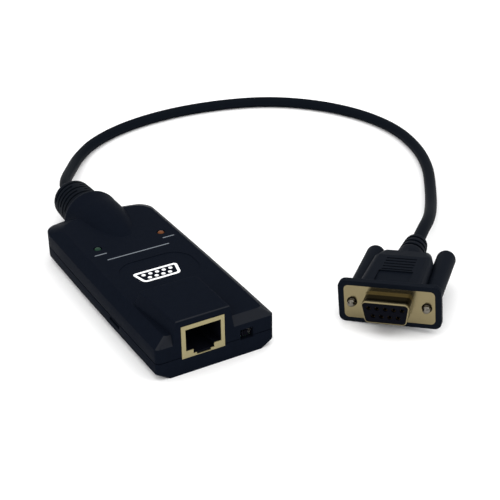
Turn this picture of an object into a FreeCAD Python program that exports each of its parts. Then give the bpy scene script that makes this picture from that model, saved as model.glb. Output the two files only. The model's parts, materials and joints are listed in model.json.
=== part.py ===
import FreeCAD, Part
import math
import os

# Serial console adapter: a handset-sized housing with a network jack at its front,
# a ribbed boot at its rear and a short cord to a nine-way serial connector.
# Places are in millimetres from the foot of the front face's middle:
# +X to the switch side, +Y towards the boot, +Z up. Export moves them to the base centre.
os.makedirs("parts", exist_ok=True)
V = FreeCAD.Vector
X, Y, Z = V(1, 0, 0), V(0, 1, 0), V(0, 0, 1)

# Housing
HALF = 21.0
SIDE_BOW = 0.3
REAR = 96.6
SEAM_Z = 6.5
WALL_Z = 11.5
TOP_Z = 14.8
FOOT_BEVEL = (3.6, 2.35)
TOP_BEVEL_SIDE = 3.6
TOP_BEVEL_FRONT = 1.5
TOP_BEVEL_REAR = 7.0
FRONT_ROUND = 1.5
SEAM_GROOVE = (0.25, 0.35)
WALL = 1.9
FLOOR = 2.0

# Raised block over the jack
TOWER_TOP_Z = 19.8
TOWER_RIGHT = (4.9, 6.4)
TOWER_LEFT = (-14.0, -15.2)
TOWER_LEFT_SPREAD = (1.7, 2.8)
TOWER_REAR = (22.3, 25.8)
TOWER_ROUND = (1.2, 2.6)
EDGE_ROUND = 0.5

# Network jack
JACK_X = -4.6
MOUTH_X = JACK_X + 0.1
JACK_HALF = 7.6
JACK_DEPTH = 19.0
JACK_Z = (5.6, 17.3)
JACK_METAL = 0.4
JACK_MOUTH = (12.4, 7.7)
JACK_MOUTH_TOP = 15.8
JACK_STEP = (7.3, 1.5)
JACK_LATCH = (4.9, 0.7)
JACK_MOUTH_DEPTH = 13.5
JACK_GAP = 0.15
CONTACT_PITCH = 1.02
CONTACT_SIZE = 0.4

# Circuit board
BOARD_HALF = HALF - WALL - 1.5
BOARD_Y = (2.4, 84.0)
BOARD_T = 1.6
BOARD_Z = JACK_Z[0] - BOARD_T
PEG_R = 2.2
PEG_X = BOARD_HALF - 4.0
PEG_PLACES = [(-PEG_X, 29.0), (PEG_X, 29.0), (-PEG_X, 78.0), (PEG_X, 78.0)]
PEG_PIN_R = 1.0
PEG_CLEAR = 0.1
CAN_R = 2.5
CAN_HEIGHT = 5.2
CAN_PLACES = [(BOARD_HALF - 8.6, 30.0), (BOARD_HALF - 8.6, 36.5), (5.6 - BOARD_HALF, 52.0)]
CRYSTAL = (4.5, 10.0, 3.5)
CRYSTAL_PLACE = (BOARD_HALF - 9.1, 48.0)
MAIN_CHIP = (0.0, 45.0, 5.0, 7.0, 1.6)
TRANSCEIVER = (MAIN_CHIP[0] - MAIN_CHIP[2] - 5.5, 40.0, 2.0, 5.0, 1.7)
CHIP_LEGS = 8
CHIP_PITCH = 1.27

# Slide switch in the front face
SWITCH_X = (8.6, 13.3)
SWITCH_Z = (5.6, 9.4)
KNOB_X = (9.4, 11.6)
KNOB_Z = (6.6, 8.6)
KNOB_TRAVEL = 1.5
KNOB_CLEAR = 0.08
CASE_FRONT = 2.3
CASE_DEPTH = 4.0
CASE_METAL = 0.4

# Label field, lamps and side slots
LABEL_HALF = 13.5
LABEL_Y = (30.5, 49.0)
LABEL_ROUND = 7.5
LABEL_DEPTH = 0.2
LAMP_X = 12.2
LAMP_Y = 63.8
LAMP_R = 1.25
LAMP_GAP = 0.3
LAMP_BODY = 5.4
LEG_SPREAD = 0.762
LEG_HALF = 0.25
SLOT_Y = (27.2, 34.8)
SLOT_Z = (4.4, 5.8)

# Boot and hump on one axis
AXIS_Z = 8.4
HUMP_FRONT = 66.5
HUMP_R = 10.8
HUMP_WALL = 1.7
HOLLOW_END = REAR - WALL - 0.4
COLLAR_END = REAR + 4.4
COLLAR_R = 9.3
BOOT_R = (8.5, 7.8)
BOOT_LENGTH = 18.0
BOOT_END = COLLAR_END + BOOT_LENGTH
BOOT_NECK_R = 5.2
BOOT_FLANGE_R = 6.1
BOOT_FLANGE_T = 2.4
RING_COUNT = 5
RING_STEP = 2.5
RING_W = 1.0
RING_DEPTH = 1.1
RING_BRIDGE = 3.0

# Cord
CORD_R = 2.35
BEND_SHARE = 0.45
CORD_LEAD = 10.0
TAIL_START = 84.5

# Serial connector, in its own frame: x across, y from the flange to the cord, z from its middle
PLUG_X = 58.6
PLUG_Y = -10.7
PLUG_YAW = -48.7
PLUG_ROLL = -4.6
RIM_HALF = 17.2
RIM_THICK = 7.7
RIM_DEPTH = 2.6
RIM_ROUND = 2.4
FLANGE = (30.4, 12.1)
FLANGE_T = 0.8
FLANGE_ROUND = 1.6
SCREW_HALF_SPAN = 12.495
SCREW_R = 1.35
SCREW_HOLE_R = 1.75
SCREW_HOLE_DEPTH = 2.2
SCREW_TIP = -2.2
SCREW_BACK = 22.0
SCREW_CLEAR = 0.1
BARREL_R = 3.4
BARREL_GAP = 0.35
BARREL_END = 36.8
BODY_HALF = (10.9, 8.8)
BODY_THICK = (6.9, 5.4)
BODY_BACK = 28.0
NECK_R = (5.2, 4.1)
NECK_END = 44.5
NECK_STEP = 3.1
DSHELL_FRONT = -6.0
DSHELL_HALF = 8.2
DSHELL_Z = 3.95
DSHELL_METAL = 0.4
DSHELL_ROUND = 0.3
DSHELL_SLANT = math.tan(math.radians(10.0))
PIN_PITCH = 2.77
PIN_ROW = 1.42
PIN_R = 0.75
GRIP_HALF = 5.2
GRIP_LINES = [12.2, 14.2, 16.2, 18.2, 20.2]

ORIGIN_Y = BOOT_END / 2
ROLL = math.radians(PLUG_ROLL)
PLUG_Z = ((RIM_THICK - RIM_ROUND) * math.cos(ROLL) + (RIM_HALF - RIM_ROUND) * abs(math.sin(ROLL)) + RIM_ROUND)


def save(name, shape):
    placed = shape.copy()
    placed.translate(V(0, -ORIGIN_Y, 0))
    placed.exportStep("parts/" + name + ".step")


def box(x0, x1, y0, y1, z0, z1):
    return Part.makeBox(x1 - x0, y1 - y0, z1 - z0, V(x0, y0, z0))


def rod(radius, start, direction, length):
    return Part.makeCylinder(radius, length, start, direction)


def arc(a, b, c):
    return Part.Arc(a, b, c).toShape()


def line(a, b):
    return Part.LineSegment(a, b).toShape()


def join(shapes):
    whole = shapes[0]
    for piece in shapes[1:]:
        whole = whole.fuse(piece)
    return whole.removeSplitter()


def round_box(half_x, z0, z1, y0, y1, radius):
    """A block with its long edges, along Y, rounded."""
    block = box(-half_x, half_x, y0, y1, z0, z1)
    edges = [e for e in block.Edges if abs(e.tangentAt(e.FirstParameter).y) > 0.99]
    return block.makeFillet(radius, edges)


def outline(half, front, rear, z):
    """The housing seen from above: bowed sides, a bowed rear and rounded rear corners."""
    def p(x, y):
        return V(x, y, z)
    middle = (front + rear) / 2
    c = FRONT_ROUND
    k = c * (1 - math.sqrt(0.5))
    edges = [
        line(p(-half + c, front), p(half - c, front)),
        arc(p(half - c, front), p(half - k, front + k), p(half, front + c)),
        arc(p(half, front + c), p(half + SIDE_BOW, middle), p(half, rear - 8.0)),
        arc(p(half, rear - 8.0), p(half - 1.2, rear - 4.4), p(half - 4.0, rear - 2.1)),
        arc(p(half - 4.0, rear - 2.1), p(0, rear), p(-half + 4.0, rear - 2.1)),
        arc(p(-half + 4.0, rear - 2.1), p(-half + 1.2, rear - 4.4), p(-half, rear - 8.0)),
        arc(p(-half, rear - 8.0), p(-half - SIDE_BOW, middle), p(-half, front + c)),
        arc(p(-half, front + c), p(-half + k, front + k), p(-half + c, front)),
    ]
    return Part.Wire(edges)


def tower(grow, top, low):
    """The drafted block over the jack; its left side spreads towards the rear; grow makes it larger."""
    def level(z):
        share = (TOWER_TOP_Z - z) / (TOWER_TOP_Z - WALL_Z)

        def at(pair):
            return pair[0] + (pair[1] - pair[0]) * share
        right = at(TOWER_RIGHT) + grow
        left = at(TOWER_LEFT) - grow
        back = at(TOWER_REAR) + grow
        spread = at(TOWER_LEFT_SPREAD)
        a, b = TOWER_ROUND
        k = 1 - math.sqrt(0.5)

        def p(x, y):
            return V(x, y, z)
        return Part.Wire([
            line(p(left, 0), p(right, 0)),
            line(p(right, 0), p(right, back - b)),
            arc(p(right, back - b), p(right - b * k, back - b * k), p(right - b, back)),
            line(p(right - b, back), p(left - spread + a, back)),
            arc(p(left - spread + a, back), p(left - spread + a * k, back - a * k), p(left - spread, back - a)),
            line(p(left - spread, back - a), p(left, 0)),
        ])
    return Part.makeLoft([level(low), level(top)], True, True)


def turned(profile, axis_z=AXIS_Z, axis_x=0.0):
    """A solid turned about a line along Y; profile holds (y, radius) corners or (y, r, y, r) arcs."""
    def p(y, r):
        return V(axis_x, y, axis_z + r)
    edges = []
    here = p(*profile[0])
    for step in profile[1:]:
        if len(step) == 2:
            there = p(*step)
            edges.append(line(here, there))
        else:
            there = p(step[2], step[3])
            edges.append(arc(here, p(step[0], step[1]), there))
        here = there
    edges.append(line(here, p(*profile[0])))
    return Part.Face(Part.Wire(edges)).revolve(V(axis_x, 0, axis_z), Y, 360)


def loft(wires):
    return Part.makeLoft(wires, True, True)


def inner_space(z0, z1):
    """The room inside the housing between two heights."""
    bevel = FOOT_BEVEL[0] * 0.55
    half = HALF - WALL
    back = REAR - WALL
    low = loft([outline(half - bevel, WALL, back, FLOOR), outline(half, WALL, back, FLOOR + 1.5)])
    mid = loft([outline(half, WALL, back, FLOOR + 1.5), outline(half, WALL, back, WALL_Z - 0.4)])
    high = loft([outline(half, WALL, back, WALL_Z - 0.4),
                 outline(HALF - TOP_BEVEL_SIDE - 0.9, WALL + 0.6, REAR - TOP_BEVEL_REAR - 1.0, TOP_Z - WALL)])
    return join([low, mid, high]).common(box(-30, 30, -1, 110, z0, z1))


def jack_opening():
    return box(JACK_X - JACK_HALF - JACK_GAP, JACK_X + JACK_HALF + JACK_GAP, -1, JACK_DEPTH + 0.5,
               JACK_Z[0], JACK_Z[1] + JACK_GAP)


def switch_opening():
    return box(SWITCH_X[0], SWITCH_X[1], -1, WALL + 1, SWITCH_Z[0], SWITCH_Z[1])


def boot_seat():
    """The round hole in the rear wall and its collar that holds the boot by its neck."""
    return rod(BOOT_NECK_R, V(0, REAR - WALL - 1, AXIS_Z), Y, COLLAR_END - REAR + WALL + 2)


def tab(side):
    """A snap tab inside the side wall and the nose that fills most of the wall's slot."""
    inner = HALF - WALL + 0.05
    stem = box(inner - 0.9, inner - 0.1, SLOT_Y[0] + 0.5, SLOT_Y[1] - 0.5, SLOT_Z[0] - 0.4, SEAM_Z + 2.0)
    nose = box(inner - 0.3, inner + 0.5, SLOT_Y[0] + 0.5, SLOT_Y[1] - 0.5, SLOT_Z[0] + 0.15, SLOT_Z[1] - 0.15)
    root = box(inner - 0.9, inner + 0.8, SLOT_Y[0] + 0.5, SLOT_Y[1] - 0.5, SEAM_Z, SEAM_Z + 2.0)
    both = stem.fuse(nose).fuse(root)
    if side < 0:
        both = both.mirror(V(0, 0, 0), X)
    return both


def bottom_shell():
    foot = HALF - FOOT_BEVEL[0]
    body = join([
        loft([outline(foot, 0, REAR - 1.0, 0), outline(HALF, 0, REAR, FOOT_BEVEL[1])]),
        loft([outline(HALF, 0, REAR, FOOT_BEVEL[1]), outline(HALF, 0, REAR, SEAM_Z - SEAM_GROOVE[1])]),
        loft([outline(HALF - SEAM_GROOVE[0], SEAM_GROOVE[0], REAR - SEAM_GROOVE[0], SEAM_Z - SEAM_GROOVE[1]),
              outline(HALF - SEAM_GROOVE[0], SEAM_GROOVE[0], REAR - SEAM_GROOVE[0], SEAM_Z)]),
    ])
    body = body.cut(inner_space(0, SEAM_Z + 1))
    pegs = []
    for x, y in PEG_PLACES:
        pegs.append(rod(PEG_R, V(x, y, FLOOR - 0.5), Z, BOARD_Z - FLOOR + 0.5))
        pegs.append(rod(PEG_PIN_R - PEG_CLEAR, V(x, y, BOARD_Z), Z, BOARD_T + 0.6))
    shelf = box(JACK_X - JACK_HALF - 2, JACK_X + JACK_HALF + 2, 1.0, 3.6, FLOOR - 0.5, BOARD_Z)
    collar = hump().common(box(-15, 15, HOLLOW_END, COLLAR_END + 1, 0, SEAM_Z))
    body = join([body, shelf, collar] + pegs)
    for tool in (jack_opening(), switch_opening(), boot_seat()):
        body = body.cut(tool)
    for side in (-1, 1):
        inner, outer = sorted((side * (HALF - WALL - 0.3), side * (HALF + 1)))
        body = body.cut(box(inner, outer, SLOT_Y[0], SLOT_Y[1], SLOT_Z[0], SLOT_Z[1]))
    return body


def hump():
    """The round back that the boot comes out of, turned about the cord's axis."""
    return turned([(HUMP_FRONT, 0), (HUMP_FRONT, 6.2), (78.5, 9.6, 91.0, HUMP_R),
                   (REAR + 0.6, HUMP_R), (REAR + 3.4, HUMP_R - 0.5, COLLAR_END, COLLAR_R), (COLLAR_END, 0)])


def top_shell():
    plateau = (HALF - TOP_BEVEL_SIDE, TOP_BEVEL_FRONT, REAR - TOP_BEVEL_REAR)
    block = join([
        loft([outline(HALF, 0, REAR, SEAM_Z), outline(HALF, 0, REAR, WALL_Z)]),
        loft([outline(HALF, 0, REAR, WALL_Z), outline(plateau[0], plateau[1], plateau[2], TOP_Z)]),
    ])
    raised = tower(0, TOWER_TOP_Z, SEAM_Z + 2.0)
    rim = [e for e in raised.Edges if e.BoundBox.ZMin > TOWER_TOP_Z - 0.1]
    raised = raised.makeFillet(EDGE_ROUND, rim)
    back = hump().common(box(-15, 15, 60, COLLAR_END + 1, SEAM_Z, 25))
    block = join([block, raised, back])
    field = label_field()
    block = block.cut(field)
    block = block.cut(inner_space(SEAM_Z - 1, 20))
    room = tower(-1.6, JACK_Z[1] + JACK_GAP, SEAM_Z - 1)
    block = block.cut(room.common(box(-30, 30, WALL, 40, 0, 30)))
    inner = HUMP_R - HUMP_WALL
    hollow = turned([(73.0, 0), (73.0, 6.6), (81.5, inner - 0.7, 91.0, inner),
                     (HOLLOW_END, inner), (HOLLOW_END, 0)])
    block = block.cut(hollow)
    for tool in (jack_opening(), switch_opening(), boot_seat()):
        block = block.cut(tool)
    for side in (-1, 1):
        block = block.cut(rod(LAMP_R + LAMP_GAP, V(side * LAMP_X, LAMP_Y, WALL_Z - 2), Z, 8))
        block = block.fuse(tab(side))
    return block.removeSplitter()


def label_field():
    """The shallow field for the label, cut into the plateau."""
    depth = box(-LABEL_HALF, LABEL_HALF, LABEL_Y[0], LABEL_Y[1], TOP_Z - LABEL_DEPTH, TOP_Z + 1)
    edges = [e for e in depth.Edges if abs(e.tangentAt(e.FirstParameter).z) > 0.99]
    return depth.makeFillet(LABEL_ROUND, edges)


def circuit_board():
    board = box(-BOARD_HALF, BOARD_HALF, BOARD_Y[0], BOARD_Y[1], BOARD_Z, BOARD_Z + BOARD_T)
    for x, y in PEG_PLACES:
        board = board.cut(rod(PEG_PIN_R, V(x, y, BOARD_Z - 1), Z, BOARD_T + 2))
    return board


def jack_mouth(grow, y0, y1):
    """The stepped mouth of the jack: a wide hollow, a step for the latch and a narrow lip."""
    centre = MOUTH_X
    top = JACK_MOUTH_TOP
    low = top - JACK_MOUTH[1]
    wide = box(centre - JACK_MOUTH[0] / 2 - grow, centre + JACK_MOUTH[0] / 2 + grow, y0, y1, low, top + grow)
    step = box(centre - JACK_STEP[0] / 2, centre + JACK_STEP[0] / 2, y0, y1, low - JACK_STEP[1], low)
    return wide.fuse(step).removeSplitter()


def rj45_shield():
    outer = box(JACK_X - JACK_HALF, JACK_X + JACK_HALF, 0, JACK_DEPTH, JACK_Z[0], JACK_Z[1])
    m = JACK_METAL
    inner = box(JACK_X - JACK_HALF + m, JACK_X + JACK_HALF - m, m, JACK_DEPTH - m, JACK_Z[0] - 1, JACK_Z[1] - m)
    shell = outer.cut(inner).cut(jack_mouth(0, -1, 1))
    low = JACK_MOUTH_TOP - JACK_MOUTH[1] - JACK_STEP[1]
    latch = box(MOUTH_X - JACK_LATCH[0] / 2, MOUTH_X + JACK_LATCH[0] / 2, -1, 1, low - JACK_LATCH[1], low)
    return shell.cut(latch)


def rj45_housing():
    m = JACK_METAL
    block = box(JACK_X - JACK_HALF + m, JACK_X + JACK_HALF - m, m, JACK_DEPTH - m, JACK_Z[0], JACK_Z[1] - m)
    return block.cut(jack_mouth(0, -1, JACK_MOUTH_DEPTH))


def rj45_contacts():
    """Eight springs that slope back and down from the mouth's ceiling."""
    springs = []
    top = JACK_MOUTH_TOP
    s = CONTACT_SIZE
    for i in range(8):
        x = MOUTH_X + (i - 3.5) * CONTACT_PITCH - s / 2
        side = [V(x, 3.2, top), V(x, 4.2, top), V(x, 11.4, top - 3.6), V(x, JACK_MOUTH_DEPTH, top - 3.6),
                V(x, JACK_MOUTH_DEPTH, top - 4.0), V(x, 11.2, top - 4.0), V(x, 3.2, top)]
        springs.append(Part.Face(Part.makePolygon(side)).extrude(V(s, 0, 0)))
    return Part.makeCompound(springs)


def lamp(side):
    """A round indicator lamp with a domed lens, just below the plateau."""
    x = side * LAMP_X
    r = LAMP_R
    base = TOP_Z - LAMP_BODY
    edges = [line(V(x, LAMP_Y, base), V(x + r + 0.3, LAMP_Y, base)),
             line(V(x + r + 0.3, LAMP_Y, base), V(x + r + 0.3, LAMP_Y, base + 1.0)),
             line(V(x + r + 0.3, LAMP_Y, base + 1.0), V(x + r, LAMP_Y, base + 1.0)),
             line(V(x + r, LAMP_Y, base + 1.0), V(x + r, LAMP_Y, TOP_Z - 0.5)),
             arc(V(x + r, LAMP_Y, TOP_Z - 0.5), V(x + r * 0.72, LAMP_Y, TOP_Z + 0.05),
                 V(x + 0.3, LAMP_Y, TOP_Z + 0.3)),
             line(V(x + 0.3, LAMP_Y, TOP_Z + 0.3), V(x, LAMP_Y, TOP_Z + 0.3)),
             line(V(x, LAMP_Y, TOP_Z + 0.3), V(x, LAMP_Y, base))]
    return Part.Face(Part.Wire(edges)).revolve(V(x, LAMP_Y, 0), Z, 360)


def lamp_legs():
    legs = []
    for side in (-1, 1):
        for step in (-LEG_SPREAD, LEG_SPREAD):
            x = side * LAMP_X + step
            legs.append(box(x - LEG_HALF, x + LEG_HALF, LAMP_Y - LEG_HALF, LAMP_Y + LEG_HALF,
                            JACK_Z[0], TOP_Z - LAMP_BODY))
    return Part.makeCompound(legs)


def switch_case():
    x0, x1 = SWITCH_X[0] - 1.2, SWITCH_X[1] + 1.2
    y0, y1 = CASE_FRONT, CASE_FRONT + CASE_DEPTH
    case = box(x0, x1, y0, y1, SWITCH_Z[0], SWITCH_Z[1])
    room = box(KNOB_X[0] - 0.1, KNOB_X[1] + KNOB_TRAVEL + 0.1, y0 - 1, y0 + CASE_METAL + 1.6,
               KNOB_Z[0] - KNOB_CLEAR, KNOB_Z[1] + KNOB_CLEAR)
    return case.cut(room)


def switch_knob():
    """The slider: a short ribbed post that shows in the front opening."""
    knob = box(KNOB_X[0], KNOB_X[1], 0.5, CASE_FRONT + CASE_METAL + 1.2, KNOB_Z[0], KNOB_Z[1])
    width = KNOB_X[1] - KNOB_X[0]
    for i in (1, 2):
        x = KNOB_X[0] + width * i / 3
        knob = knob.cut(box(x - 0.15, x + 0.15, 0, 0.9, KNOB_Z[0] - 1, KNOB_Z[1] + 1))
    return knob


def cable_boot():
    """The tapered boot: a flange inside the wall, a neck through it and staggered slots near its end."""
    inside = REAR - WALL - 0.45
    root = COLLAR_END + 0.05
    boot = turned([(inside - BOOT_FLANGE_T, CORD_R), (inside - BOOT_FLANGE_T, BOOT_FLANGE_R),
                   (inside, BOOT_FLANGE_R),
                   (inside, BOOT_NECK_R - 0.05), (root, BOOT_NECK_R - 0.05), (root, BOOT_R[0]),
                   (BOOT_END - 2.4, BOOT_R[1]), (BOOT_END - 0.7, BOOT_R[1] - 0.8, BOOT_END, BOOT_R[1] - 2.6),
                   (BOOT_END, CORD_R)])
    for i in range(RING_COUNT):
        y = BOOT_END - 4.0 - i * RING_STEP
        radius = BOOT_R[1] + (BOOT_R[0] - BOOT_R[1]) * (BOOT_END - y) / (BOOT_END - root)
        ring = rod(radius + 1, V(0, y - RING_W / 2, AXIS_Z), Y, RING_W)
        ring = ring.cut(rod(radius - RING_DEPTH, V(0, y - RING_W, AXIS_Z), Y, RING_W * 2))
        w = RING_BRIDGE / 2
        if i % 2:
            bridge = box(-w, w, y - 2, y + 2, AXIS_Z - 12, AXIS_Z + 12)
        else:
            bridge = box(-12, 12, y - 2, y + 2, AXIS_Z - w, AXIS_Z + w)
        boot = boot.cut(ring.cut(bridge))
    return boot


def cable_tail():
    return rod(CORD_R, V(0, TAIL_START, AXIS_Z), Y, BOOT_END - TAIL_START)


def header_parts():
    """The board's wire header, the plug in it and the five wires to the cord's end."""
    z = JACK_Z[0]
    header = box(-7.5, 7.5, 68.5, 74.0, z, z + 3.2).cut(box(-6.7, 6.7, 69.2, 73.3, z + 0.6, z + 4))
    plug = box(-6.6, 6.6, 69.3, 73.2, z + 0.6, z + 5.0)
    wires = []
    for i in range(5):
        step = i - 2
        a = V(step * 2.2, 73.2, z + 3.9)
        b = V(step * 0.85, TAIL_START, AXIS_Z + 0.3 * (2 - abs(step)))
        run = (b - a).normalize()
        wires.append(rod(0.4, a + run * 0.2, run, (b - a).Length - 0.4))
    return header, plug, Part.makeCompound(wires)


def chip(x, y, half_x, half_y, height):
    """A flat chip with its legs along two sides, as one body."""
    z = JACK_Z[0]
    parts = [box(x - half_x, x + half_x, y - half_y, y + half_y, z + 0.1, z + height)]
    for i in range(CHIP_LEGS):
        ly = y + (i - (CHIP_LEGS - 1) / 2) * CHIP_PITCH
        parts.append(box(x - half_x - 1.0, x + half_x + 1.0, ly - 0.2, ly + 0.2, z, z + 0.35))
    return join(parts)


def capacitors():
    z = JACK_Z[0]
    cans = []
    for x, y in CAN_PLACES:
        cans.append(turned_up(x, y, z, CAN_R, CAN_HEIGHT))
    return Part.makeCompound(cans)


def turned_up(x, y, z, radius, height):
    can = rod(radius, V(x, y, z), Z, height)
    top = [e for e in can.Edges if e.BoundBox.ZMin > z + height - 0.01]
    return can.makeFillet(0.4, top)


def crystal():
    z = JACK_Z[0]
    x, y = CRYSTAL_PLACE
    can = box(x, x + CRYSTAL[0], y, y + CRYSTAL[1], z, z + CRYSTAL[2])
    edges = [e for e in can.Edges if abs(e.tangentAt(e.FirstParameter).z) > 0.99]
    return can.makeFillet(1.8, edges)


def d_slice(grow):
    """A slice of the connector's D outline: flat top, sloping sides, rounded corners."""
    h = DSHELL_Z + grow
    r = 1.6 + grow
    top = DSHELL_HALF + grow
    low = top - 2 * h * DSHELL_SLANT
    corners = [V(-top, 0, h), V(top, 0, h), V(low, 0, -h), V(-low, 0, -h)]
    wire = Part.makePolygon(corners + corners[:1])
    face = Part.Face(wire)
    solid = face.extrude(V(0, 1, 0))
    edges = [e for e in solid.Edges if abs(e.tangentAt(e.FirstParameter).y) > 0.99]
    return solid.makeFillet(r, edges)


def d_block(grow, y0, y1):
    front = [f for f in d_slice(grow).Faces if abs(f.CenterOfMass.y) < 0.001][0]
    wire = front.OuterWire
    wire.translate(V(0, y0, 0))
    return Part.Face(wire).extrude(V(0, y1 - y0, 0))


def plate(y0, y1):
    slab = round_box(FLANGE[0] / 2, -FLANGE[1] / 2, FLANGE[1] / 2, y0, y1, FLANGE_ROUND)
    for side in (-1, 1):
        slab = slab.cut(rod(SCREW_HOLE_R, V(side * SCREW_HALF_SPAN, y0 - 1, 0), Y, y1 - y0 + 2))
    return slab


def dsub_front_shell():
    m = DSHELL_METAL
    nose = d_block(0, DSHELL_FRONT, FLANGE_T)
    nose = nose.makeFillet(DSHELL_ROUND, [e for e in nose.Edges if e.BoundBox.YMax < DSHELL_FRONT + 0.01])
    shell = plate(0, FLANGE_T).fuse(nose).fuse(d_block(0.35, -0.5, FLANGE_T))
    return shell.cut(d_block(-m, DSHELL_FRONT - 1, FLANGE_T + 1)).removeSplitter()


def dsub_rear_shell():
    back = plate(FLANGE_T, FLANGE_T + 0.6).fuse(d_block(0.4, FLANGE_T, 7.0))
    return back.cut(d_block(-DSHELL_METAL, FLANGE_T - 1, 8.0)).removeSplitter()


def pin_places():
    upper = [((i - 2) * PIN_PITCH, PIN_ROW) for i in range(5)]
    lower = [((i - 1.5) * PIN_PITCH, -PIN_ROW) for i in range(4)]
    return upper + lower


def dsub_insulator():
    block = d_block(-DSHELL_METAL, DSHELL_FRONT + 0.2, 7.0)
    for x, z in pin_places():
        block = block.cut(rod(PIN_R, V(x, DSHELL_FRONT - 1, z), Y, 16))
    return block


def dsub_contacts():
    """Nine sprung sockets, set back a little in their holes, with solder ends at the rear."""
    sockets = []
    for x, z in pin_places():
        tube = rod(PIN_R, V(x, DSHELL_FRONT + 0.8, z), Y, 9.5 - DSHELL_FRONT - 0.8)
        sockets.append(tube.cut(rod(0.52, V(x, DSHELL_FRONT, z), Y, 7.0)))
    return Part.makeCompound(sockets)


def inner_mould():
    """The first moulding round the solder joints and the end of the cord."""
    block = round_box(8.4, -4.6, 4.6, 7.0, 20.0, 1.5)
    for x, z in pin_places():
        block = block.cut(rod(PIN_R, V(x, 6, z), Y, 3.5))
    return block


def hood_body():
    def level(y, half, thick):
        return round_box(half, -thick, thick, y, y + 0.01, 2.2)
    sections = []
    for y, half, thick in ((RIM_DEPTH - 0.3, BODY_HALF[0], BODY_THICK[0]),
                           (22.5, BODY_HALF[0] - 0.6, BODY_THICK[0] - 0.5),
                           (BODY_BACK, BODY_HALF[1], BODY_THICK[1])):
        slab = level(y, half, thick)
        front = [f for f in slab.Faces if abs(f.CenterOfMass.y - y) < 0.001][0]
        sections.append(front.OuterWire)
    return Part.makeLoft(sections, True, True)


def neck():
    profile = [(BODY_BACK - 6, 0), (BODY_BACK - 6, NECK_R[0]), (30.5, NECK_R[0])]
    rings = [NECK_END - 3.4 - NECK_STEP * (2 - i) for i in range(3)]
    fall = (NECK_R[1] - NECK_R[0]) / (NECK_END - 30.5)
    for y in rings:
        r0 = NECK_R[0] + fall * (y - 0.7 - 30.5)
        r1 = NECK_R[0] + fall * (y + 0.7 - 30.5)
        profile += [(y - 0.7, r0), (y - 0.7, r0 - 0.7), (y + 0.7, r1 - 0.7), (y + 0.7, r1)]
    profile += [(NECK_END - 1.6, NECK_R[1]), (NECK_END - 0.4, NECK_R[1] - 0.4, NECK_END, NECK_R[1] - 1.4),
                (NECK_END, 0)]
    return turned(profile, 0.0)


def connector_hood():
    rim = round_box(RIM_HALF, -RIM_THICK, RIM_THICK, 0, RIM_DEPTH, RIM_ROUND)
    back = [e for e in rim.Edges if e.BoundBox.YMin > RIM_DEPTH - 0.01]
    rim = rim.makeFillet(0.6, back)
    hood = join([rim, hood_body(), neck()])
    for side in (-1, 1):
        x = side * SCREW_HALF_SPAN
        lane = rod(BARREL_R + BARREL_GAP, V(x, RIM_DEPTH, 0), Y, BARREL_END)
        hood = hood.cut(lane)
        hood = hood.cut(rod(SCREW_R + SCREW_CLEAR, V(x, -1, 0), Y, RIM_DEPTH + 2))
        hood = hood.cut(rod(SCREW_HOLE_R, V(x, -1, 0), Y, SCREW_HOLE_DEPTH + 1))
    pocket = round_box(FLANGE[0] / 2, -FLANGE[1] / 2, FLANGE[1] / 2, -1, FLANGE_T + 0.6, FLANGE_ROUND)
    hood = hood.cut(pocket).cut(d_block(0.4, 0, 7.0)).cut(round_box(8.4, -4.6, 4.6, 7.0, 20.0, 1.5))
    hood = hood.cut(rod(CORD_R, V(0, 19, 0), Y, 40))
    for face in (-1, 1):
        z0, z1 = sorted((face * (BODY_THICK[0] - 0.75), face * 12))
        panel = box(-GRIP_HALF - 0.6, GRIP_HALF + 0.6, RIM_DEPTH, GRIP_LINES[0] - 1.0, z0, z1)
        hood = hood.cut(panel)
        for y in GRIP_LINES:
            depth = BODY_THICK[0] - 0.5 * (y - RIM_DEPTH) / (22.5 - RIM_DEPTH) - 0.4
            z0, z1 = sorted((face * depth, face * 12))
            hood = hood.cut(box(-GRIP_HALF, GRIP_HALF, y - 0.35, y + 0.35, z0, z1))
    return hood


def thumbscrew(side):
    x = side * SCREW_HALF_SPAN
    screw = turned([(SCREW_TIP, 0), (SCREW_TIP, 0.4), (SCREW_TIP + 0.3, 0.95, SCREW_TIP + 0.9, SCREW_R),
                    (SCREW_BACK, SCREW_R), (SCREW_BACK, 0)], 0.0, x)
    barrel = turned([(RIM_DEPTH + 0.2, SCREW_R), (RIM_DEPTH + 0.2, BARREL_R), (BARREL_END - 2.8, BARREL_R),
                     (BARREL_END - 0.8, BARREL_R - 1.1, BARREL_END, 0.8), (BARREL_END, 0), (SCREW_BACK, 0),
                     (SCREW_BACK, SCREW_R)], 0.0, x)
    return screw, barrel


def plug_placement():
    """Where the connector lies: turned away from the housing and tipped a little by its stiff cord."""
    turn = FreeCAD.Rotation(Z, PLUG_YAW).multiply(FreeCAD.Rotation(Y, PLUG_ROLL))
    return FreeCAD.Placement(V(PLUG_X, PLUG_Y, PLUG_Z), turn)


def place(shape):
    moved = shape.copy()
    moved.Placement = plug_placement()
    return moved


def plug_point(x, y, z):
    return plug_placement().multVec(V(x, y, z))


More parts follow.
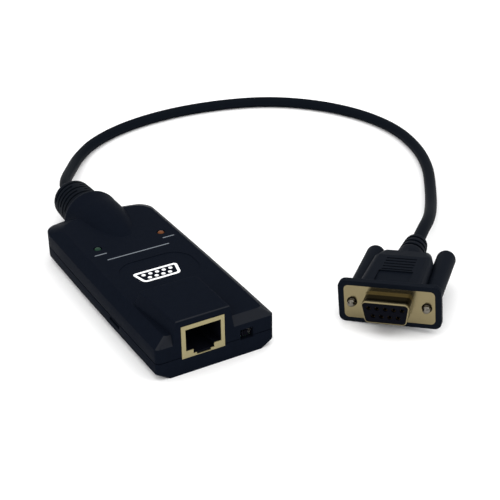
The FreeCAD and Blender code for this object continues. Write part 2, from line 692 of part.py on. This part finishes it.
def cord_points():
    """The cord's corners: out of the boot, down to the floor, round a wide bend and up to the connector."""
    floor = CORD_R + 0.05
    start = V(-0.15, BOOT_END - 1.0, AXIS_Z)
    middle = [(1.3, BOOT_END + 9.0, AXIS_Z - 0.2), (4.9, 137.5, 7.0), (12.3, 150.0, 4.6), (21.0, 163.8, 2.7),
              (34.0, 176.6, floor), (53.0, 185.8, floor), (76.5, 189.6, floor), (100.5, 187.4, floor),
              (123.4, 179.4, floor), (141.0, 164.0, floor), (152.6, 143.6, floor), (156.5, 121.5, floor),
              (152.8, 100.3, floor), (144.5, 81.0, floor), (133.2, 64.0, 2.5), (121.5, 48.2, 4.2),
              (110.2, 34.6, 7.2)]
    back = plug_point(0, NECK_END + CORD_LEAD, 0)
    end = plug_point(0, NECK_END, 0)
    return [start] + [V(*m) for m in middle] + [back, end]


def cord():
    """Straight runs joined by tangent arcs, swept with a round section and cut flush with the boot's end."""
    points = cord_points()
    edges = []
    here = points[0]
    least = 1e9
    for before, corner, after in zip(points, points[1:], points[2:]):
        to_before = (before - corner).normalize()
        to_after = (after - corner).normalize()
        turn = math.pi - to_before.getAngle(to_after)
        reach = BEND_SHARE * min((before - corner).Length, (after - corner).Length)
        radius = reach / math.tan(turn / 2)
        least = min(least, radius)
        a = corner + to_before * reach
        b = corner + to_after * reach
        inward = (to_before + to_after).normalize()
        centre_gap = math.hypot(radius, reach)
        middle = corner + inward * (centre_gap - radius)
        edges.append(line(here, a))
        edges.append(arc(a, middle, b))
        here = b
    edges.append(line(here, points[-1]))
    path = Part.Wire(edges)
    start_dir = (points[1] - points[0]).normalize()
    ring = Part.Wire([Part.Circle(points[0], start_dir, CORD_R).toShape()])
    tube = path.makePipeShell([ring], True, True)
    tube = tube.cut(box(-5, 5, BOOT_END - 5, BOOT_END, 0, 20))
    print("cord length", round(path.Length, 1), "smallest bend", round(least, 1),
          "volume share", round(tube.Volume / (math.pi * CORD_R ** 2 * path.Length), 4))
    return tube


def main():
    header, header_plug, wires = header_parts()
    pieces = {
        "top_shell": top_shell(), "bottom_shell": bottom_shell(), "circuit_board": circuit_board(),
        "rj45_shield": rj45_shield(), "rj45_housing": rj45_housing(), "rj45_contacts": rj45_contacts(),
        "power_led": lamp(-1), "link_led": lamp(1), "led_legs": lamp_legs(),
        "slide_switch_case": switch_case(), "slide_switch_knob": switch_knob(),
        "cable_boot": cable_boot(), "cable_tail": cable_tail(),
        "cable_header": header, "header_plug": header_plug, "inner_wires": wires,
        "main_chip": chip(*MAIN_CHIP),
        "transceiver_chip": chip(*TRANSCEIVER),
        "crystal": crystal(), "capacitors": capacitors(),
    }
    left, left_barrel = thumbscrew(-1)
    right, right_barrel = thumbscrew(1)
    plug_pieces = {
        "connector_hood": connector_hood(), "dsub_front_shell": dsub_front_shell(),
        "dsub_rear_shell": dsub_rear_shell(), "dsub_insulator": dsub_insulator(),
        "dsub_contacts": dsub_contacts(), "inner_mould": inner_mould(),
        "cable_end": rod(CORD_R, V(0, 20.0, 0), Y, NECK_END - 20.0),
        "thumbscrew_left": left, "thumbscrew_left_knob": left_barrel,
        "thumbscrew_right": right, "thumbscrew_right_knob": right_barrel,
    }
    for name, shape in plug_pieces.items():
        pieces[name] = place(shape)
    pieces["cable"] = cord()
    for name, shape in pieces.items():
        print(name, len(shape.Solids), "valid", shape.isValid(), "volume", round(shape.Volume, 1))
        save(name, shape)


main()
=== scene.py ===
import json
import math

import bmesh
import bpy
from mathutils import Matrix, Vector


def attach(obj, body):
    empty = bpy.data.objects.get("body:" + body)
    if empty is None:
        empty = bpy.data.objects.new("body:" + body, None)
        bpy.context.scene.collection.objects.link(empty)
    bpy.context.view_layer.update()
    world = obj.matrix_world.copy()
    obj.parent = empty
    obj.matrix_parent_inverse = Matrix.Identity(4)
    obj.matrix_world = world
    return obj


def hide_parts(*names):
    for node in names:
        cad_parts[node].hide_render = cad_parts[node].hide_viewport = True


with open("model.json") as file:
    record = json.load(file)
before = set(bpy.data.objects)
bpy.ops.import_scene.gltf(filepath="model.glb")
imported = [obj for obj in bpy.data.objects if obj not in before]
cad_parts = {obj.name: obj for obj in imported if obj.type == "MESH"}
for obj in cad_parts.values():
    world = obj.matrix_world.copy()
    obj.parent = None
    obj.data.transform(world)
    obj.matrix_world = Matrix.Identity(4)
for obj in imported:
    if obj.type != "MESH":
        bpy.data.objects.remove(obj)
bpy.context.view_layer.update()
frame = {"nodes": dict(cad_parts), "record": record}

# Every length below is in metres; MM turns a drawing's millimetres into metres.
MM = 0.001

# The housing's middle lies at the frame's origin; its front face is this far in front.
FRONT_Y = -59.5 * MM

# The plateau's height, and how far its printed field is sunk
PLATEAU = 14.8 * MM
FIELD_DEPTH = 0.2 * MM

# Printed marks on the plateau, as places from the front face
SYMBOL_CENTRE = (-1.3 * MM, 38.0 * MM)
SYMBOL_SIZE = (16.8 * MM, 7.0 * MM)
SYMBOL_SLOPE = 1.6 * MM
SYMBOL_CORNER = 1.5 * MM
SYMBOL_LINE = 1.0 * MM
DOT_ROWS = ((5, 1.15 * MM), (4, -1.15 * MM))
DOT_PITCH = 2.5 * MM
DOT_RADIUS = 0.72 * MM
RULE_CENTRE = (-0.8 * MM, 54.6 * MM)
RULE_SIZE = (23.4 * MM, 0.5 * MM)
MARK_Y = 59.3 * MM
MARK_X = 13.0 * MM
MARK_SIZE = (4.6 * MM, 0.5 * MM)
INK = 0.03 * MM

# The nine-way connector's own frame: its flange's middle, its turn about Z and its roll
PLUG_PLACE = Vector((58.6, -70.2, 8.870)) * MM
PLUG_TURN = math.radians(-48.7)
PLUG_ROLL = math.radians(-4.6)
SCREW_HALF_SPAN = 12.495 * MM
SCREW_RADIUS = 1.35 * MM
SCREW_TIP = -2.2 * MM

# The thread near each screw's tip: a 40 turns to the inch pitch, its ridge and its fineness
THREAD_START = SCREW_TIP + 1.2 * MM
THREAD_PITCH = 0.635 * MM
THREAD_TURNS = 3
THREAD_STEPS = 20
THREAD_DEPTH = 0.1 * MM
THREAD_ROOT = 0.02 * MM
THREAD_HALF_WIDTH = THREAD_PITCH * 0.42

# The cord: its diameter and its route, from the boot to the connector's neck
CORD_DIAMETER = 4.7 * MM
CORD_ROUTE = [
    (-0.15, 58.5, 8.4), (1.3, 68.5, 8.2), (4.9, 78, 7), (12.2, 90.5, 4.6),
    (20.9, 104.5, 2.7), (33.8, 117.4, 2.4), (52.9, 126.7, 2.4), (76.5, 130.6, 2.4),
    (100.6, 128.4, 2.4), (123.9, 120.6, 2.4), (141.7, 105.1, 2.4), (153.4, 84.5, 2.4),
    (157.3, 62.2, 2.4), (153.6, 40.8, 2.4), (145.2, 21.3, 2.4), (133.5, 4.3, 2.5),
    (121.6, -11.5, 4.2), (110.2, -24.9, 7.2), (99.544, -34.23, 8.87), (92.031, -40.83, 8.87),
]

# Mouldings whose corners are a little rounded by their moulds, and by how much
SOFT_EDGES = {"top_shell": 0.25 * MM, "bottom_shell": 0.25 * MM, "connector_hood": 0.2 * MM}
SOFT_ANGLE = math.radians(30.0)
SOFT_STEPS = 2
SAME_POINT = 0.001 * MM

# Height of a surface's grain, and how much finer it is than the slow clouds in its colour
GRAIN_HEIGHT = 0.05 * MM
CLOUD_SHARE = 0.12

# Numbers of a colour mix node's sockets: its share, its two colours and its result
MIX_SHARE, MIX_FIRST, MIX_SECOND, MIX_RESULT = 0, 6, 7, 2

# Where a band of painted dark reflection on the connector's skirt starts behind its root and ends
# before its rim, from the flange
SKIRT_ROOT = (0.9 * MM, 1.3 * MM)
SKIRT_RIM = (4.7 * MM, 5.2 * MM)
# Colour of the painted dark reflection on the skirt
SKIRT_PAINTED_REFLECTION = "#1d1914"

# Sheen of the housing's plastic, and what its smoother front bevels add to it
SATIN_SHEEN = 0.003
BEVEL_SHEEN = 0.14
SHINE_DEPTH = 9.0 * MM
SHINE_LEAN = 0.3

# The photograph's camera
CAMERA_AZIMUTH = math.radians(-29.48)
CAMERA_ELEVATION = math.radians(28.74)
CAMERA_ROLL = math.radians(-0.73)
CAMERA_DISTANCE = 436.9 * MM
CAMERA_TARGET = Vector((45.5, 1.04, 0.0)) * MM
CAMERA_LENS = 84.3
CAMERA_SHIFT = (0.0066, -0.0024)

# Lamps: name, place in metres from the point they face, side of the square and watts
LAMP_TARGET = Vector((40.0, 20.0, 0.0)) * MM
LAMPS = [
    ("overhead", (-0.1, 0.2, 1.6), 2.2, 9.0),
    ("left_side", (-1.3, -0.5, 0.8), 1.1, 3.0),
    ("front_right", (0.75, -0.8, 1.25), 0.6, 4.0),
]
FLOOR_HALF = 4.0
SURROUND_LIGHT = 1.1
SURROUND_SEEN = 1.0


def srgb(text):
    """An sRGB hex colour as linear red, green, blue and alpha."""
    parts = [int(text[i:i + 2], 16) / 255 for i in (1, 3, 5)]
    return [p / 12.92 if p <= 0.04045 else ((p + 0.055) / 1.055) ** 2.4 for p in parts] + [1.0]


def add(tree, kind, settings=(), links=()):
    """One node with its settings; each link is (socket here, node, socket there)."""
    node = tree.nodes.new(kind)
    for key, value in dict(settings).items():
        if isinstance(key, str) and hasattr(node, key):
            setattr(node, key, value)
        else:
            node.inputs[key].default_value = value
    for here, other, there in links:
        tree.links.new(other.outputs[there], node.inputs[here])
    return node


def shader_of(mat):
    """The one surface shader of a finish."""
    return next(n for n in mat.node_tree.nodes if n.type == "BSDF_PRINCIPLED")


def finish_for(name, colour, roughness, metallic=0.0, specular=0.5, grain_mm=0.0,
               grain_depth=0.0, tint=0.0):
    """A surface: its colour, sheen and, where it has one, a grain of a real size in millimetres."""
    mat = bpy.data.materials.new(name)
    mat.use_nodes = True
    tree = mat.node_tree
    tree.nodes.clear()
    shader = add(tree, "ShaderNodeBsdfPrincipled", {
        "Base Color": srgb(colour), "Roughness": roughness, "Metallic": metallic})
    if metallic < 0.5:
        shader.inputs["Specular IOR Level"].default_value = specular
    add(tree, "ShaderNodeOutputMaterial", {}, [("Surface", shader, "BSDF")])
    if not grain_mm:
        return mat
    place = add(tree, "ShaderNodeTexCoord")
    noise = add(tree, "ShaderNodeTexNoise", {"Scale": 1.0 / (grain_mm * MM), "Detail": 2.0},
                [("Vector", place, "Object")])
    bump = add(tree, "ShaderNodeBump", {"Strength": grain_depth, "Distance": GRAIN_HEIGHT},
               [("Height", noise, "Fac")])
    tree.links.new(bump.outputs["Normal"], shader.inputs["Normal"])
    if tint:
        slow = add(tree, "ShaderNodeTexNoise",
                   {"Scale": CLOUD_SHARE / (grain_mm * MM), "Detail": 3.0},
                   [("Vector", place, "Object")])
        mix = add(tree, "ShaderNodeMix", {"data_type": "RGBA"}, [(MIX_SHARE, slow, "Fac")])
        for socket, factor in ((MIX_FIRST, 1 - tint), (MIX_SECOND, 1 + tint)):
            mix.inputs[socket].default_value = [c * factor for c in srgb(colour)[:3]] + [1.0]
        tree.links.new(mix.outputs[MIX_RESULT], shader.inputs["Base Color"])
    return mat


def surfaces():
    """One finish for each real material, by the name of the record's slot."""
    return {
        # Moulded ABS: near black with a blue cast and a fine spark grain, dull in soft light
        "housing_plastic": finish_for(
            "moulded_abs", "#0d1119", 0.42, specular=SATIN_SHEEN, grain_mm=0.25,
            grain_depth=0.25, tint=0.12),
        # Overmoulded PVC of the connector: a little duller than the housing
        "hood_vinyl": finish_for(
            "moulded_pvc", "#0e1219", 0.5, specular=0.01, grain_mm=0.3, grain_depth=0.2,
            tint=0.1),
        # Extruded PVC jacket: smooth along its length, with soft highlights
        "cord_vinyl": finish_for(
            "extruded_pvc", "#0d1117", 0.44, specular=0.006, grain_mm=0.5, grain_depth=0.12,
            tint=0.1),
        # Stamped and plated jack shell: pale warm metal
        "jack_metal": finish_for(
            "plated_phosphor_bronze", "#958c6a", 0.45, metallic=1.0, grain_mm=0.4,
            grain_depth=0.08),
        # Yellow passivated zinc on drawn steel: khaki gold that mirrors softly
        "flange_metal": finish_for(
            "yellow_zinc_steel", "#7a7054", 0.2, metallic=1.0, grain_mm=0.35,
            grain_depth=0.12, tint=0.06),
        # Nickel plate on the screws, its colour darkened as a painted reflection of the dark hood
        # around them: a dark tip with one bright spot
        "screw_steel": finish_for(
            "nickel_steel_painted_dark", "#66625a", 0.22, metallic=1.0, grain_mm=0.4,
            grain_depth=0.05),
        # Tin plate on the switch's case, the crystal and the lamps' legs: pale and soft
        "tinned_steel": finish_for(
            "tinned_steel", "#c9c8c4", 0.35, metallic=1.0, grain_mm=0.4, grain_depth=0.08),
        # Gold flash on the contacts, darkened nearly to black as painted shade, since they lie deep
        # in their sockets
        "contact_gold": finish_for(
            "gold_flash_painted_shade", "#3a2f1d", 0.4, metallic=1.0, grain_mm=0.4, grain_depth=0.05),
        # Black nylon of the jack's and the connector's inserts: deep and dull
        "black_nylon": finish_for(
            "moulded_nylon", "#0a0b11", 0.5, specular=0.01, grain_mm=0.3, grain_depth=0.15),
        # Undyed nylon of the wire header: warm cream
        "cream_nylon": finish_for(
            "natural_nylon", "#e6e0cb", 0.45, grain_mm=0.3, grain_depth=0.15),
        # Milky polyethylene moulded round the solder joints
        "clear_mould": finish_for(
            "polyethylene_premould", "#d9d7cd", 0.4, grain_mm=0.3, grain_depth=0.1),
        # Solder mask on the circuit board: bottle green and glossy
        "board_green": finish_for(
            "solder_mask", "#1d5a38", 0.3, grain_mm=0.6, grain_depth=0.1),
        # Moulded epoxy of the chips: flat charcoal
        "chip_epoxy": finish_for(
            "moulded_epoxy", "#26272b", 0.55, grain_mm=0.2, grain_depth=0.2),
        # Drawn aluminium of the capacitors: pale satin
        "can_aluminium": finish_for(
            "drawn_aluminium", "#c7c9cc", 0.35, metallic=1.0, grain_mm=0.4,
            grain_depth=0.08),
        # PVC on the inner wires: dull red
        "wire_vinyl": finish_for(
            "wire_pvc", "#7d2420", 0.4, grain_mm=0.4, grain_depth=0.1),
        # Tinted epoxy lamps, unlit: dark green and dark amber
        "lamp_green": finish_for(
            "green_epoxy_lens", "#133323", 0.3, specular=0.12, grain_mm=0.5,
            grain_depth=0.03),
        "lamp_orange": finish_for(
            "amber_epoxy_lens", "#623719", 0.3, specular=0.12, grain_mm=0.5,
            grain_depth=0.03),
        # Pad-printed ink: opaque white, and grey for the thin marks
        "white_ink": finish_for(
            "pad_print_white", "#f4f5f6", 0.55, grain_mm=0.3, grain_depth=0.05),
        "grey_ink": finish_for(
            "pad_print_grey", "#646b73", 0.55, grain_mm=0.3, grain_depth=0.05),
    }


def shine_front_bevels(mat):
    """Bevels and edges that face up and forwards at the front are smoother and shine more."""
    tree = mat.node_tree
    place = add(tree, "ShaderNodeSeparateXYZ", {},
                [(0, add(tree, "ShaderNodeTexCoord"), "Object")])
    facing = add(tree, "ShaderNodeSeparateXYZ", {},
                 [(0, add(tree, "ShaderNodeNewGeometry"), "Normal")])
    near = add(tree, "ShaderNodeMath", {"operation": "LESS_THAN", 1: FRONT_Y + SHINE_DEPTH},
               [(0, place, "Y")])
    ahead = add(tree, "ShaderNodeMath", {"operation": "LESS_THAN", 1: -SHINE_LEAN},
                [(0, facing, "Y")])
    up = add(tree, "ShaderNodeMath", {"operation": "GREATER_THAN", 1: SHINE_LEAN},
             [(0, facing, "Z")])
    both = add(tree, "ShaderNodeMath", {"operation": "MULTIPLY"}, [(0, ahead, 0), (1, up, 0)])
    mask = add(tree, "ShaderNodeMath", {"operation": "MULTIPLY"}, [(0, both, 0), (1, near, 0)])
    sheen = add(tree, "ShaderNodeMath",
                {"operation": "MULTIPLY_ADD", 1: BEVEL_SHEEN, 2: SATIN_SHEEN}, [(0, mask, 0)])
    tree.links.new(sheen.outputs[0], shader_of(mat).inputs["Specular IOR Level"])


def paint_skirt_dark_reflection(mat):
    """Paints a dark reflection on the drawn skirt, leaving the flange, a lip at its root and its rim
    in the plate's own colour.
    """
    tree = mat.node_tree
    base = shader_of(mat).inputs["Base Color"]
    plate = base.links[0].from_socket
    ahead = Vector((math.sin(PLUG_TURN), -math.cos(PLUG_TURN), 0.0))
    flange = ahead.dot(PLUG_PLACE)
    along = add(tree, "ShaderNodeVectorMath", {"operation": "DOT_PRODUCT", 1: ahead},
                [(0, add(tree, "ShaderNodeTexCoord"), "Object")])
    root = add(tree, "ShaderNodeMapRange", {
        "From Min": flange + SKIRT_ROOT[0], "From Max": flange + SKIRT_ROOT[1]},
        [("Value", along, "Value")])
    rim = add(tree, "ShaderNodeMapRange", {
        "From Min": flange + SKIRT_RIM[1], "From Max": flange + SKIRT_RIM[0]},
        [("Value", along, "Value")])
    band = add(tree, "ShaderNodeMath", {"operation": "MULTIPLY"}, [(0, root, 0), (1, rim, 0)])
    # The band takes the painted dark reflection in place of the plate's colour
    mix = add(tree, "ShaderNodeMix", {"data_type": "RGBA"}, [(MIX_SHARE, band, 0)])
    tree.links.new(plate, mix.inputs[MIX_FIRST])
    mix.inputs[MIX_SECOND].default_value = srgb(SKIRT_PAINTED_REFLECTION)
    tree.links.new(mix.outputs[MIX_RESULT], base)


def dress_frame(finishes):
    """Each CAD node takes the finish of its slot; the big mouldings also get softer edges."""
    slots = {row["node"]: row["material_slot"] for row in frame["record"]["subparts"]}
    for name, obj in frame["nodes"].items():
        obj.data.materials.clear()
        obj.data.materials.append(finishes[slots[name]])
        if name in SOFT_EDGES:
            weld = obj.modifiers.new("weld", "WELD")
            weld.merge_threshold = SAME_POINT
            soft = obj.modifiers.new("soft_edges", "BEVEL")
            soft.width = SOFT_EDGES[name]
            soft.segments = SOFT_STEPS
            soft.limit_method = "ANGLE"
            soft.angle_limit = SOFT_ANGLE
            soft.harden_normals = True


def piece(name, bm, finish, body):
    """A finished mesh piece at the origin that rides on its body."""
    bmesh.ops.recalc_face_normals(bm, faces=bm.faces)
    mesh = bpy.data.meshes.new(name)
    bm.to_mesh(mesh)
    bm.free()
    obj = bpy.data.objects.new(name, mesh)
    bpy.context.scene.collection.objects.link(obj)
    mesh.materials.append(finish)
    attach(obj, body)


def flat_face(bm, corners, rounding=0.0, segments=6):
    """A flat face through the corners, which are rounded if asked."""
    verts = [bm.verts.new((x, y, 0.0)) for x, y in corners]
    face = bm.faces.new(verts)
    if rounding:
        bmesh.ops.bevel(bm, geom=verts, offset=rounding, offset_type="OFFSET",
                        segments=segments, profile=0.5, affect="VERTICES", material=-1,
                        clamp_overlap=True)
        face = max(bm.faces, key=lambda f: f.calc_area())
    return face


def flat_bar(bm, size, rounding=0.0, segments=6):
    """A flat bar of that size about the origin."""
    w, h = size[0] / 2, size[1] / 2
    return flat_face(bm, [(-w, -h), (w, -h), (w, h), (-w, h)], rounding, segments)


def ring_from(bm, face, width):
    """Turns a flat face into an outline of that width."""
    bmesh.ops.inset_region(bm, faces=[face], thickness=width, use_boundary=True,
                           use_even_offset=True)
    bmesh.ops.delete(bm, geom=[face], context="FACES")


def disc(bm, x, y, radius, segments=20):
    """A flat disc about (x, y)."""
    bmesh.ops.create_circle(bm, cap_ends=True, segments=segments, radius=radius,
                            matrix=Matrix.Translation((x, y, 0.0)))


def print_on(bm, x, y, z):
    """Gives flat print its thickness of ink and sets it at its place on the housing."""
    bm.normal_update()
    top = bmesh.ops.extrude_face_region(bm, geom=bm.faces[:])
    raised = [v for v in top["geom"] if isinstance(v, bmesh.types.BMVert)]
    bmesh.ops.translate(bm, verts=raised, vec=(0.0, 0.0, INK))
    bmesh.ops.translate(bm, verts=bm.verts[:], vec=(x, FRONT_Y + y, z))


def port_symbol(finishes, z):
    """A plain symbol of a nine-way serial port: its outline and its nine contacts."""
    bm = bmesh.new()
    wide, high = SYMBOL_SIZE[0] / 2, SYMBOL_SIZE[1] / 2
    corners = [(-wide + SYMBOL_SLOPE, -high), (wide - SYMBOL_SLOPE, -high), (wide, high),
               (-wide, high)]
    ring_from(bm, flat_face(bm, corners, SYMBOL_CORNER), SYMBOL_LINE)
    for count, y in DOT_ROWS:
        for i in range(count):
            disc(bm, (i - (count - 1) / 2) * DOT_PITCH, y, DOT_RADIUS)
    print_on(bm, SYMBOL_CENTRE[0], SYMBOL_CENTRE[1], z)
    piece("port_symbol", bm, finishes["white_ink"], "adapter")


def name_rule(finishes, z):
    """A thin rule where such a product carries its type number."""
    bm = bmesh.new()
    flat_bar(bm, RULE_SIZE)
    print_on(bm, RULE_CENTRE[0], RULE_CENTRE[1], z)
    piece("name_rule", bm, finishes["grey_ink"], "adapter")


def lamp_marks(finishes, z):
    """A short rule with round ends in front of each lamp, where its name would stand."""
    for name, side in (("left_lamp_mark", -1), ("right_lamp_mark", 1)):
        bm = bmesh.new()
        flat_bar(bm, MARK_SIZE, MARK_SIZE[1] / 2, 4)
        print_on(bm, side * MARK_X, MARK_Y, z)
        piece(name, bm, finishes["grey_ink"], "adapter")


def cord(finishes):
    """The cord, one smooth line through its route, which takes the place of the CAD cable."""
    curve = bpy.data.curves.new("serial_cord", "CURVE")
    curve.dimensions = "3D"
    curve.bevel_depth = CORD_DIAMETER / 2
    curve.bevel_resolution = 8
    curve.resolution_u = 16
    spline = curve.splines.new("NURBS")
    spline.points.add(len(CORD_ROUTE) - 1)
    for point, place in zip(spline.points, CORD_ROUTE):
        point.co = [c * MM for c in place] + [1.0]
    spline.order_u = 3
    spline.use_endpoint_u = True
    spline.use_smooth = True
    obj = bpy.data.objects.new("serial_cord", curve)
    bpy.context.scene.collection.objects.link(obj)
    curve.materials.append(finishes["cord_vinyl"])
    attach(obj, "adapter")
    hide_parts("cable")


def screw_thread(finishes, side, body):
    """The thread near the tip of a jack screw, one V-shaped ridge wound along it."""
    bm = bmesh.new()
    foot = SCREW_RADIUS - THREAD_ROOT
    corners = [(-THREAD_HALF_WIDTH, foot), (0.0, SCREW_RADIUS + THREAD_DEPTH),
               (THREAD_HALF_WIDTH, foot)]
    verts = [bm.verts.new((r, y, 0.0)) for y, r in corners]
    edges = [bm.edges.new((verts[i], verts[(i + 1) % 3])) for i in range(3)]
    bmesh.ops.spin(bm, geom=verts + edges, cent=(0, 0, 0), axis=(0, 1, 0),
                   dvec=(0, THREAD_PITCH / THREAD_STEPS, 0),
                   angle=2 * math.pi * THREAD_TURNS, steps=THREAD_STEPS * THREAD_TURNS,
                   use_merge=False, use_duplicate=False)
    bmesh.ops.holes_fill(bm, edges=[e for e in bm.edges if e.is_boundary])
    place = (Matrix.Translation(PLUG_PLACE) @ Matrix.Rotation(PLUG_TURN, 4, "Z")
             @ Matrix.Rotation(PLUG_ROLL, 4, "Y")
             @ Matrix.Translation((side * SCREW_HALF_SPAN, THREAD_START, 0.0)))
    bmesh.ops.transform(bm, matrix=place, verts=bm.verts[:])
    piece("thread_" + body, bm, finishes["screw_steel"], body)


def floor_and_light():
    """A white sweep, a wide lamp overhead, two smaller ones at the sides and a white surround."""
    bm = bmesh.new()
    bmesh.ops.create_grid(bm, x_segments=1, y_segments=1, size=FLOOR_HALF)
    mesh = bpy.data.meshes.new("floor")
    bm.to_mesh(mesh)
    bm.free()
    floor = bpy.data.objects.new("floor", mesh)
    bpy.context.scene.collection.objects.link(floor)
    mesh.materials.append(finish_for("white_sweep", "#ffffff", 0.9, specular=0.0))
    for name, place, size, power in LAMPS:
        light = bpy.data.lights.new(name, "AREA")
        light.size = size
        light.energy = power
        obj = bpy.data.objects.new(name, light)
        obj.location = Vector(place) + LAMP_TARGET
        aim = LAMP_TARGET - obj.location
        obj.rotation_euler = aim.to_track_quat("-Z", "Y").to_euler()
        bpy.context.scene.collection.objects.link(obj)
    world = bpy.data.worlds.new("studio")
    bpy.context.scene.world = world
    world.use_nodes = True
    tree = world.node_tree
    tree.nodes.clear()
    path = add(tree, "ShaderNodeLightPath")
    lit = add(tree, "ShaderNodeBackground",
              {"Color": srgb("#ffffff"), "Strength": SURROUND_LIGHT})
    shown = add(tree, "ShaderNodeBackground",
                {"Color": srgb("#ffffff"), "Strength": SURROUND_SEEN})
    seen = add(tree, "ShaderNodeMath", {"operation": "MAXIMUM"},
               [(0, path, "Is Camera Ray"), (1, path, "Is Glossy Ray")])
    seen = add(tree, "ShaderNodeMath", {"operation": "MAXIMUM"},
               [(0, seen, 0), (1, path, "Is Transmission Ray")])
    mix = add(tree, "ShaderNodeMixShader", {}, [(0, seen, 0), (1, lit, 0), (2, shown, 0)])
    add(tree, "ShaderNodeOutputWorld", {}, [("Surface", mix, 0)])


def camera():
    """The photograph's camera, as fitted to the connectors and the housing."""
    az, el = CAMERA_AZIMUTH, CAMERA_ELEVATION
    back = Vector((math.sin(az) * math.cos(el), -math.cos(az) * math.cos(el), math.sin(el)))
    right = Vector((math.cos(az), math.sin(az), 0.0))
    up = back.cross(right)
    turn = Matrix.Rotation(CAMERA_ROLL, 3, back)
    right, up = turn @ right, turn @ up
    data = bpy.data.cameras.new("camera")
    data.lens = CAMERA_LENS
    data.sensor_width = 36.0
    data.shift_x, data.shift_y = CAMERA_SHIFT
    data.clip_start, data.clip_end = 0.01, 20.0
    obj = bpy.data.objects.new("camera", data)
    pose = Matrix((right, up, back)).transposed().to_4x4()
    pose.translation = CAMERA_TARGET + CAMERA_DISTANCE * back
    obj.matrix_world = pose
    bpy.context.scene.collection.objects.link(obj)
    bpy.context.scene.camera = obj


def main():
    finishes = surfaces()
    shine_front_bevels(finishes["housing_plastic"])
    # Paints a dark reflection into the skirt's colour
    paint_skirt_dark_reflection(finishes["flange_metal"])
    dress_frame(finishes)
    port_symbol(finishes, PLATEAU - FIELD_DEPTH)
    name_rule(finishes, PLATEAU)
    lamp_marks(finishes, PLATEAU)
    cord(finishes)
    screw_thread(finishes, -1, "left_screw")
    screw_thread(finishes, 1, "right_screw")
    floor_and_light()
    camera()
    bpy.context.scene.view_settings.view_transform = "Standard"


main()
